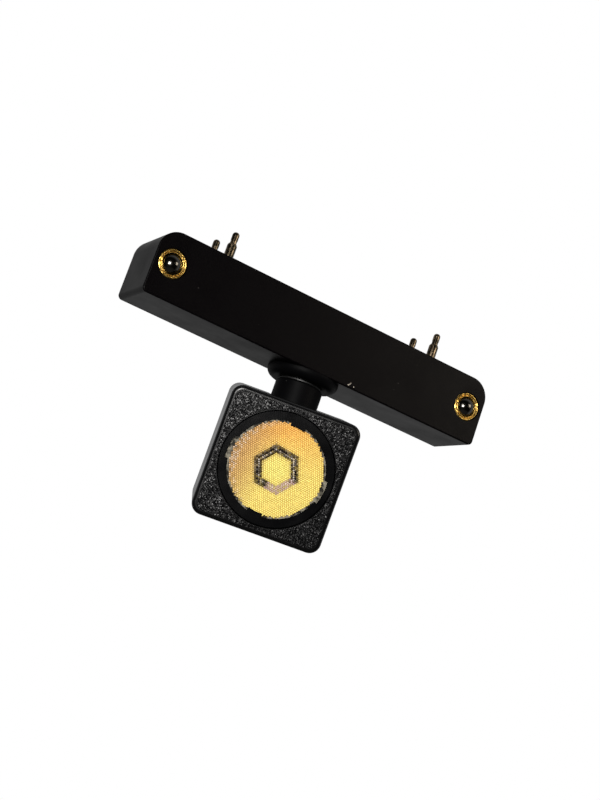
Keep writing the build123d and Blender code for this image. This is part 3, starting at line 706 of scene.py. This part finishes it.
@dataclass
class BallDetents:
    """The four sprung balls in staked brass sleeves.

    Attributes:
        mouth_mm: Radius of the rolled mouth.
        bore_mm: Radius of the ball's bore.
        base_mm: Thickness of the sleeve's closed end.
        lip_mm: Thickness of the rolled lip.
        stake_mm: Height of the lumps that the staking tool leaves.
        staked: Which points of the outline the staking tool moves.
        steps: Steps round the sleeve.
        seed: Start of the random draws.
    """

    mouth_mm: float = 2.12
    bore_mm: float = 2.3
    base_mm: float = 0.8
    lip_mm: float = 0.4
    stake_mm: float = 0.22
    staked: range = range(3, 10)
    steps: int = 192
    seed: int = 5

    def outline(self, rim: float, depth: float) -> list[tuple[float, float]]:
        """Return the sleeve's outline, from the mouth out over the face and back through the bore.

        Args:
            rim: The sleeve's outer radius in mm.
            depth: Its length in mm.

        Returns:
            Points of radius and depth in mm.
        """
        mouth = self.mouth_mm
        inner_end = depth - self.base_mm
        return [
            (mouth, self.lip_mm),
            (mouth + 0.02, 0.28),
            (mouth + 0.07, 0.12),
            (mouth + 0.14, 0.05),
            (mouth + 0.2, 0.2),
            (mouth + 0.28, 0.38),
            (mouth + 0.36, 0.24),
            (rim - 0.42, 0.04),
            (rim - 0.32, 0.02),
            (rim - 0.22, 0.08),
            (rim - 0.14, 0.2),
            (rim - 0.08, 0.36),
            (rim, 0.6),
            (rim, 0.8),
            (rim, depth),
            (self.bore_mm, depth),
            (0.02, depth),
            (0.02, inner_end),
            (self.bore_mm, inner_end),
            (self.bore_mm, self.lip_mm),
        ]

    def lift(self, index: int, angle: float) -> float:
        """Return how far the staking sinks one point of the face at an angle, in mm."""
        if index not in self.staked:
            return 0.0
        spot = Vector((math.cos(angle), math.sin(angle), 0.0))
        lumps = noise.noise(spot * 2.6 + Vector((0.0, 0.0, self.seed + 0.5 * index)))
        dents = noise.noise(spot * 5.5 + Vector((0.0, 0.0, 9.0 + self.seed)))
        return self.stake_mm * (abs(lumps) + 0.4 * max(0.0, dents))

    def build(self) -> None:
        """Make the sleeves and dress the balls and springs."""
        for number, corner in enumerate(CORNERS):
            node = f"detent_sleeve_{corner}"
            low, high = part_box(node)
            self.seed += number
            outline = self.outline((high.x - low.x) / 2 / MM, (high.y - low.y) / MM)
            points, faces = lathe(outline, self.steps, self.lift)
            centre = box_centre(node)
            outer_y = low.y if "front" in corner else high.y
            place = Matrix.Translation((centre.x, outer_y, centre.z))
            if "rear" in corner:
                place = place @ Matrix.Rotation(math.pi, 4, "Z")
            piece = make_piece(
                f"staked_sleeve_{corner}", points, faces, DETENT_BRASS, "adapter", place
            )
            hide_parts(node)
        dress([f"detent_ball_{c}" for c in CORNERS], BALL_STEEL)
        dress([f"detent_spring_{c}" for c in CORNERS], SPRING_STEEL)


@dataclass
class SwivelStem:
    """The flange under the bar and the hollow stem that turns in it."""

    def build(self) -> None:
        """Dress the flange, the stem and the small parts that hold them."""
        dress(["swivel_bush", "stem"], STEM_BLACK)
        dress(["swivel_washer", "tilt_washers"], WASHER_PLASTIC)
        dress(["stop_washer", "stop_pin", "swivel_nut"], PLATED_STEEL)
        dress(["spring_washer"], SPRING_STEEL)
        dress(["pivot_screws"], SCREW_STEEL)
        dress(["stem_wire_red"], WIRE_RED)
        dress(["stem_wire_black"], WIRE_BLACK)


@dataclass
class Head:
    """The square head: its casting, its grained bezel, its cover and its hinge bracket.

    Attributes:
        corner_mm: Radius of the head's corners.
        border_mm: Width of the smooth border round the grain.
        bore_mm: Radius of the lens bore.
        bore_border_mm: Smooth ring round the bore.
        grain_mm: Spacing of the grain.
        grain_height_mm: Height of the grain over the face.
        rise_mm: Width over which the grain rises from the smooth border.
        lift_mm: Height of the grain's lowest points over the casting.
        sunk_mm: Depth of the skin's edges in the casting.
        steps_round: Mesh steps round the bezel.
        steps_out: Mesh steps from the bore to the border.
    """

    corner_mm: float = 2.3
    border_mm: float = 0.85
    bore_mm: float = 11.5
    bore_border_mm: float = 0.12
    grain_mm: float = 0.22
    grain_height_mm: float = 0.004
    rise_mm: float = 0.25
    lift_mm: float = 0.002
    sunk_mm: float = 0.001
    steps_round: int = 1200
    steps_out: int = 48

    def build(self) -> None:
        """Dress the head's CAD nodes and add the grained bezel."""
        dress(["head_shell", "rear_cover"], HEAD_BLACK)
        dress(["cover_screws"], SCREW_STEEL)
        dress(["tilt_bracket", "bracket_screws", "led_board_screws"], PLATED_STEEL)
        dress(["head_wire_red"], WIRE_RED)
        dress(["head_wire_black"], WIRE_BLACK)
        self.make_bezel()

    def outline_reach(self, half_head: float, angle: float) -> float:
        """Return how far the grain's outer outline lies from the lens's axis at an angle, in mm.

        Args:
            half_head: Half the head's width in mm.
            angle: Angle about the lens's axis.

        Returns:
            The distance in mm.
        """
        half = half_head - self.border_mm
        radius = self.corner_mm - self.border_mm * 0.5
        dx, dz = abs(math.cos(angle)), abs(math.sin(angle))
        straight = half / max(dx, dz)
        corner = half - radius
        if min(dx, dz) * straight <= corner:
            return straight
        along = corner * (dx + dz)
        return along + math.sqrt(max(0.0, along**2 - 2 * corner**2 + radius**2))

    def grain_height(self, x: float, z: float) -> float:
        """Return the grain's height at a point of the face, both in mm."""
        spot = Vector((x, z, 0.0)) / self.grain_mm
        cells = noise.voronoi(spot, distance_metric="DISTANCE_SQUARED")[0]
        dome = max(0.0, 1.0 - 1.8 * cells[0])
        rough = noise.fractal(spot * 0.9, 0.8, 2.1, 3)
        return self.grain_height_mm * min(1.0, max(0.0, 0.3 + 0.6 * dome + 0.35 * rough))

    def make_bezel(self) -> None:
        """Make the grained skin between the lens bore and the smooth border."""
        place = head_frame()
        low, high = local_box("head_shell", place)
        half_head = (high.x - low.x) / 2
        axis_z = (high.z + low.z) / 2
        inner = self.bore_mm + self.bore_border_mm
        points: list[Point] = []
        for step in range(self.steps_round):
            angle = 2 * math.pi * step / self.steps_round
            reach = self.outline_reach(half_head, angle)
            for ring in range(self.steps_out + 1):
                radius = inner + (reach - inner) * ring / self.steps_out
                x, z = radius * math.cos(angle), radius * math.sin(angle)
                rise = min(1.0, min(radius - inner, reach - radius) / self.rise_mm)
                height = rise * self.grain_height(x, z) + self.lift_mm
                if ring in (0, self.steps_out):
                    height = -self.sunk_mm
                points.append((x * MM, (low.y - height) * MM, (axis_z + z) * MM))
        count = self.steps_out + 1
        faces: list[Face] = []
        for step in range(self.steps_round):
            here, there = step * count, ((step + 1) % self.steps_round) * count
            for ring in range(self.steps_out):
                faces.append((here + ring, here + ring + 1, there + ring + 1, there + ring))
            faces.append((here, there, there + self.steps_out, here + self.steps_out))
        make_piece("grained_bezel", points, faces, HEAD_GRAIN, "head", place)


@dataclass
class Optics:
    """The lens with its honeycomb face, its holder and the light source behind it.

    Attributes:
        radius_mm: Radius of the honeycomb.
        pitch_mm: Distance between lenslets. The moulded ones stand about 0.35 mm apart, too
            fine to show, so they are drawn as coarse as it takes.
        rise_mm: Height of a lenslet over its edges.
        gap_mm: Height of the lenslets' edges over the lens body.
        flank_share: How far the flanks' colour lies from the apex's, which carries the painted sparkle, to
            the lenslet's own.
        clocking_deg: Turn of the honeycomb's rows about the lens's axis.
        band_depth: How dark each row of lenslets in the hexagonal band is, from 0 to 1, by the
            row's number from the middle.
        rim_mm: Radius outside which the lenslets get painted shade and the painted reflection of the dark
            holder.
        rim_scallops: Number of dark scallops of painted reflection of the holder round the rim.
        seed: Start of the random draws.
        tones: The colours that meet on the face, sRGB hex.
    """

    radius_mm: float = 9.55
    pitch_mm: float = 0.43
    rise_mm: float = 0.05
    gap_mm: float = 0.01
    flank_share: float = 0.75
    clocking_deg: float = -10.4
    band_depth: dict[int, float] = field(
        default_factory=lambda: {7: 0.25, 8: 0.96, 9: 0.97, 10: 1.0, 11: 0.9, 12: 0.2}
    )
    rim_mm: float = 8.9
    rim_scallops: int = 36
    seed: int = 7
    tones: dict[str, str] = field(
        default_factory=lambda: {
            "yellow": "#FFF188",
            "orange": "#FEC666",
            # tan: painted shade that dims the face's left side.
            "tan": "#DCAE72",
            "core": "#FFFC90",
            "band": "#150A05",
            # spark: painted sparkle highlight for the lenslets' apexes.
            "spark": "#FFF4E6",
            "haze": "#C4ACA8",
            "seam": "#B47A28",
            # shaded_seam: painted shade in the seams on the left side.
            "shaded_seam": "#4A2E12",
            # rim: painted shade of the gap and painted reflection of the dark holder round the lens's rim.
            "rim": "#2A1C12",
        }
    )

    def build(self) -> None:
        """Dress the CAD nodes and add the honeycomb face."""
        dress(["lens_holder"], HOLDER_PLASTIC)
        dress(["tir_lens"], LENS_CLEAR)
        dress(["led_board"], LED_BOARD_MASK)
        dress(["led_package"], ALUMINA)
        dress(["led_phosphor"], PHOSPHOR)
        self.make_face()

    def hex_radius(self, x: float, z: float) -> float:
        """Return the corner radius of the hexagon about the axis that passes through a point."""
        angle = math.atan2(z, x) - math.radians(self.clocking_deg)
        sector = math.pi / 3
        off_flat = (angle % sector) - sector / 2
        return math.hypot(x, z) * math.cos(off_flat) / math.cos(sector / 2)

    def painted_left_shade(self, x: float, z: float) -> float:
        """Return how much painted shade a point gets on the face's left side, from 0 to 1."""
        return min(1.0, max(0.0, 1.35 * (-x + 0.1 * z) / self.radius_mm - 0.2))

    def tone(self, x: float, z: float, draw: random.Random) -> tuple[Vector, Vector]:
        """Return one lenslet's linear colours.

        Args:
            x: Place across the face, in mm.
            z: Place up the face, in mm.
            draw: Source of the small differences between lenslets.

        Returns:
            The colour of its apex, with its painted sparkle, and of its flanks: red, green and blue.
        """
        pick = {k: Vector(linear(v)[:3]) for k, v in self.tones.items()}
        radius = math.hypot(x, z)
        painted_left_shade = self.painted_left_shade(x, z)
        warm = min(1.0, max(0.0, 0.3 + 0.9 * (z * 0.85 - x * 0.5) / self.radius_mm))
        colour = pick["yellow"].lerp(pick["orange"], warm * min(1.0, radius / 7.0))
        # Painted shade: the left side is dimmed towards tan.
        colour = colour.lerp(pick["tan"], painted_left_shade)
        core = max(0.0, 1.0 - radius / (8 * self.pitch_mm))
        colour = colour.lerp(pick["core"], min(1.0, 1.6 * core))
        reach = self.hex_radius(x, z)
        low_right = (x * 0.5 - z * 0.87) / max(radius, 0.1)
        row = round(reach / self.pitch_mm)
        # apex is the share of painted sparkle highlight at the lenslet's top.
        apex = 0.0
        if row in self.band_depth:
            strength = self.band_depth[row] * (0.45 if low_right > 0.8 else 1.0)
            colour = colour.lerp(pick["band"], strength * draw.choice((1.0, 1.0, 0.95, 0.8)))
            apex = draw.choice((0.15, 0.6, 0.9)) if row == 9 else draw.choice((0.0, 0.0, 0.2))
            if low_right > 0.7 and 8 <= row <= 11:
                colour = colour.lerp(pick["haze"], draw.choice((0.3, 0.75, 0.85)))
        # Painted shade and reflection of the dark holder round the rim, wider on the left.
        rim_start = self.rim_mm - 1.2 * painted_left_shade
        if radius > rim_start:
            scallop = 0.5 + 0.5 * math.cos(self.rim_scallops * math.atan2(z, x))
            depth = min(1.0, (radius - rim_start) / (self.radius_mm - rim_start))
            colour = colour.lerp(pick["rim"], scallop * depth * draw.choice((0.4, 0.7, 0.95)))
            # Painted sparkle on some rim lenslets of the left side.
            apex = max(apex, draw.choice((0.0, 0.7 * painted_left_shade)))
        colour = colour * draw.uniform(0.86, 1.0)
        return colour.lerp(pick["spark"], apex), colour

    def make_face(self) -> None:
        """Make the honeycomb of lenslets just proud of the lens body."""
        place = head_frame()
        low, high = local_box("tir_lens", place)
        axis_z = (low.z + high.z) / 2
        draw = random.Random(self.seed)
        turn = math.radians(self.clocking_deg)
        row_step = self.pitch_mm * math.sqrt(3) / 2
        corner = self.pitch_mm / math.sqrt(3)
        rows = int(self.radius_mm / row_step) + 2
        seam, shaded = (Vector(linear(self.tones[name])[:3]) for name in ("seam", "shaded_seam"))
        points: list[Point] = []
        colours: list[Colour] = []
        faces: list[Face] = []
        for row in range(-rows, rows + 1):
            for column in range(-rows, rows + 1):
                u = (column + 0.5 * (row % 2)) * self.pitch_mm
                w = row * row_step
                x = u * math.cos(turn) - w * math.sin(turn)
                z = u * math.sin(turn) + w * math.cos(turn)
                if math.hypot(x, z) > self.radius_mm - corner:
                    continue
                apex, tone = self.tone(x, z, draw)
                # Painted shade: the seams darken towards the left side.
                edge = seam.lerp(shaded, self.painted_left_shade(x, z))
                dim = Vector([t * e for t, e in zip(tone, edge)])
                start = len(points)
                # The flanks take part of the apex's painted sparkle.
                flank = apex.lerp(tone, self.flank_share)
                rings = ((0.0, 1.0, apex), (0.6, 0.68, flank), (1.0, 0.0, dim))
                for share, rise, shade in rings:
                    for spoke in range(1 if share == 0.0 else 6):
                        angle = turn + math.radians(30 + 60 * spoke)
                        px = x + share * corner * math.cos(angle)
                        pz = z + share * corner * math.sin(angle)
                        depth = low.y - self.gap_mm - rise * self.rise_mm
                        points.append((px * MM, depth * MM, (axis_z + pz) * MM))
                        colours.append((*shade, 1.0))
                for spoke in range(6):
                    here, there = start + 1 + spoke, start + 1 + (spoke + 1) % 6
                    faces.append((start, here, there))
                    faces.append((here, here + 6, there + 6, there))
        piece = make_piece("honeycomb_face", points, faces, LENS_FACE, "head", place)
        layer = piece.data.color_attributes.new(LENS_FACE.tone_layer, "FLOAT_COLOR", "POINT")
        layer.data.foreach_set("color", [c for colour in colours for c in colour])


# ---------------------------------------------------------------------------
# Studio
# ---------------------------------------------------------------------------
@dataclass(frozen=True)
class Softbox:
    """A square soft light, placed by angles from the line of sight.

    Attributes:
        name: The light's name.
        right_deg: Angle to the right of the camera, seen from the object.
        up_deg: Angle above the camera.
        distance_m: Distance from the object.
        side_m: Length of its side.
        watts: Its power.
        colour: Its colour, sRGB hex.
    """

    name: str
    right_deg: float
    up_deg: float
    distance_m: float
    side_m: float
    watts: float
    colour: str = "#FFFFFF"


@dataclass
class Studio:
    """Plain floor, soft light and the camera.

    Attributes:
        eye_m: The camera's place.
        azimuth_deg: Its bearing; 0 looks along +Y.
        elevation_deg: Its height angle over the object; below 0 it looks up.
        roll_deg: Its turn about its own line of sight.
        lens_mm: Focal length on a 36 mm long side.
        floor_drop_m: How far the floor lies under the track face.
        floor_radius_m: The floor's radius.
        floor_steps: Straight sides of the floor's outline.
        surround: Light that comes from behind the object, as a share of white.
        room: Light that comes from behind the camera, as a share of white.
        softboxes: The lights.
    """

    eye_m: Point = (-0.123297, -0.282441, -0.088873)
    azimuth_deg: float = -23.93
    elevation_deg: float = -12.766
    roll_deg: float = 19.27
    lens_mm: float = 69.31
    floor_drop_m: float = 0.4
    floor_radius_m: float = 0.6
    floor_steps: int = 96
    surround: float = 0.45
    room: float = 0.01
    softboxes: tuple[Softbox, ...] = (
        Softbox("main_softbox", -5.0, 15.0, 0.4, 0.13, 1.85, "#FFFDFA"),
        Softbox("side_softbox", 72.0, 9.0, 0.5, 0.19, 0.6, "#FFF4E4"),
    )

    def axes(self) -> tuple[Vector, Vector, Vector]:
        """Return the camera's right, up and back directions."""
        a, e = math.radians(self.azimuth_deg), math.radians(self.elevation_deg)
        back = Vector((math.sin(a) * math.cos(e), -math.cos(a) * math.cos(e), math.sin(e)))
        level_right = Vector((math.cos(a), math.sin(a), 0.0))
        level_up = back.cross(level_right)
        roll = math.radians(self.roll_deg)
        right = level_right * math.cos(roll) + level_up * math.sin(roll)
        return right, back.cross(right), back

    def build(self) -> None:
        """Make the camera, the lights, the surroundings and the floor."""
        scene = bpy.context.scene
        scene.view_settings.view_transform = "Standard"
        self.make_camera(scene)
        for box in self.softboxes:
            self.make_light(scene, box)
        self.make_world(scene)
        self.make_floor(scene)

    def make_camera(self, scene: bpy.types.Scene) -> None:
        """Make the camera and make it the scene's own."""
        right, up, back = self.axes()
        data = bpy.data.cameras.new("camera")
        data.lens = self.lens_mm
        data.sensor_width = 36.0
        data.clip_start = 0.005
        camera = bpy.data.objects.new("camera", data)
        turn = Matrix((right, up, back)).transposed().to_4x4()
        camera.matrix_world = Matrix.Translation(Vector(self.eye_m)) @ turn
        scene.collection.objects.link(camera)
        scene.camera = camera

    def make_light(self, scene: bpy.types.Scene, box: Softbox) -> None:
        """Make one soft light that faces the object.

        Args:
            scene: The scene that takes it.
            box: The light's facts.
        """
        right, up, back = self.axes()
        low, high = CAD_BOUNDS
        centre = (low + high) / 2
        a, e = math.radians(box.right_deg), math.radians(box.up_deg)
        way = (back * math.cos(a) + right * math.sin(a)) * math.cos(e) + up * math.sin(e)
        data = bpy.data.lights.new(box.name, "AREA")
        data.shape = "SQUARE"
        data.size = box.side_m
        data.energy = box.watts
        data.color = linear(box.colour)[:3]
        light = bpy.data.objects.new(box.name, data)
        light.location = centre + way * box.distance_m
        light.rotation_mode = "QUATERNION"
        light.rotation_quaternion = way.to_track_quat("Z", "Y")
        scene.collection.objects.link(light)

    def make_world(self, scene: bpy.types.Scene) -> None:
        """Surround the object with white paper behind it and a dim room behind the camera."""
        _, _, back = self.axes()
        world = bpy.data.worlds.new("white_sweep")
        world.use_nodes = True
        tree = world.node_tree
        tree.nodes.clear()
        where = add_node(tree, "ShaderNodeTexCoord").outputs["Generated"]
        toward = add_node(
            tree, "ShaderNodeVectorMath", {"operation": "DOT_PRODUCT"}, {0: where, 1: tuple(-back)}
        )
        level = add_node(
            tree,
            "ShaderNodeMapRange",
            {"interpolation_type": "SMOOTHSTEP"},
            {
                "Value": toward.outputs["Value"],
                "From Min": -0.35,
                "From Max": 0.25,
                "To Min": self.room,
                "To Max": self.surround,
            },
        )
        white = linear("#FFFFFF")
        lighting = add_node(
            tree,
            "ShaderNodeBackground",
            inputs={"Color": white, "Strength": level.outputs["Result"]},
        )
        backdrop = add_node(
            tree, "ShaderNodeBackground", inputs={"Color": white, "Strength": 1.0}
        )
        seen = add_node(tree, "ShaderNodeLightPath").outputs["Is Camera Ray"]
        both = add_node(
            tree, "ShaderNodeMixShader", inputs={0: seen, 1: lighting.outputs[0], 2: backdrop.outputs[0]}
        )
        add_node(tree, "ShaderNodeOutputWorld", inputs={"Surface": both.outputs[0]})
        scene.world = world

    def make_floor(self, scene: bpy.types.Scene) -> None:
        """Lay a round pale floor well under the object."""
        turns = [2 * math.pi * step / self.floor_steps for step in range(self.floor_steps)]
        rim = [
            (self.floor_radius_m * math.cos(turn), self.floor_radius_m * math.sin(turn), 0.0)
            for turn in turns
        ]
        mesh = bpy.data.meshes.new("floor")
        mesh.from_pydata(rim, [], [tuple(range(self.floor_steps))])
        material = bpy.data.materials.new("pale_paper_floor")
        material.use_nodes = True
        tree = material.node_tree
        tree.nodes.clear()
        paper = add_node(tree, "ShaderNodeBsdfDiffuse", inputs={"Color": linear("#6A6A68")})
        glow = add_node(tree, "ShaderNodeEmission", inputs={"Color": linear("#F7F7F5"), "Strength": 1.0})
        seen = add_node(tree, "ShaderNodeLightPath").outputs["Is Camera Ray"]
        both = add_node(
            tree,
            "ShaderNodeMixShader",
            inputs={0: seen, 1: paper.outputs[0], 2: glow.outputs[0]},
        )
        add_node(tree, "ShaderNodeOutputMaterial", inputs={"Surface": both.outputs[0]})
        mesh.materials.append(material)
        floor = bpy.data.objects.new("floor", mesh)
        floor.location = (0.0, 0.0, -self.floor_drop_m)
        scene.collection.objects.link(floor)


def main() -> None:
    """Build every sub-assembly and the studio, in order."""
    logging.basicConfig(level=logging.INFO, format="%(name)s: %(message)s")
    assemblies = [AdapterBar(), ContactPins(), BallDetents(), SwivelStem(), Head(), Optics(), Studio()]
    for assembly in assemblies:
        log.info("building %s", type(assembly).__name__)
        assembly.build()


if __name__ == "__main__":
    main()
